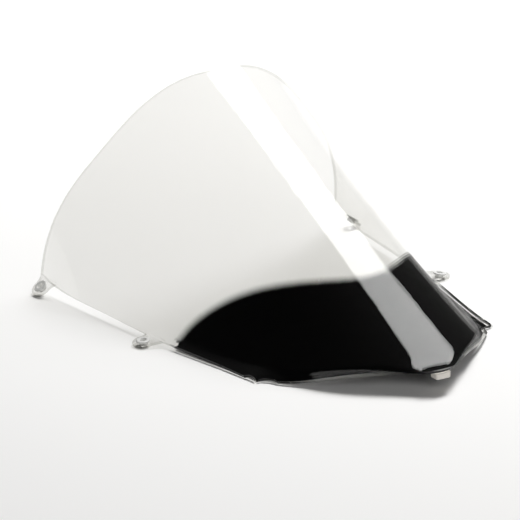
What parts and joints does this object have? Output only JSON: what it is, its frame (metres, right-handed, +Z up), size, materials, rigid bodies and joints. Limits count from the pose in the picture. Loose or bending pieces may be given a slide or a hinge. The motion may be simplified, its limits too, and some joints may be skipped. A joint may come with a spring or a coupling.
{
  "type": "motorcycle windscreen",
  "caption": "Clear curved sport motorcycle windscreen with a printed dark lower band, flared lip, drilled mounting ears and a soft block under the nose.",
  "frame": {"origin": "on the surface the screen stands on, in its mid plane, half way between the front and rear ends", "axes": "+Z up, -Y towards the nose (front of the motorcycle), +X to the rider's left; symmetric about X = 0"},
  "size_m": [0.4004, 0.4638, 0.2209],
  "materials": {
    "clear_acrylic": "polished clear",
    "black_print": "screen-printed ink behind clear acrylic",
    "nylon": "translucent moulded nylon",
    "foam_rubber": "matt, pale, soft"
  },
  "bodies": {
    "root": {"screen_shell": "clear_acrylic", "black_band": "black_print", "nose_pad": "foam_rubber", "bush_front_left": "nylon", "bush_front_right": "nylon", "bush_rear_left": "nylon", "bush_rear_right": "nylon"}
  },
  "joints": []
}
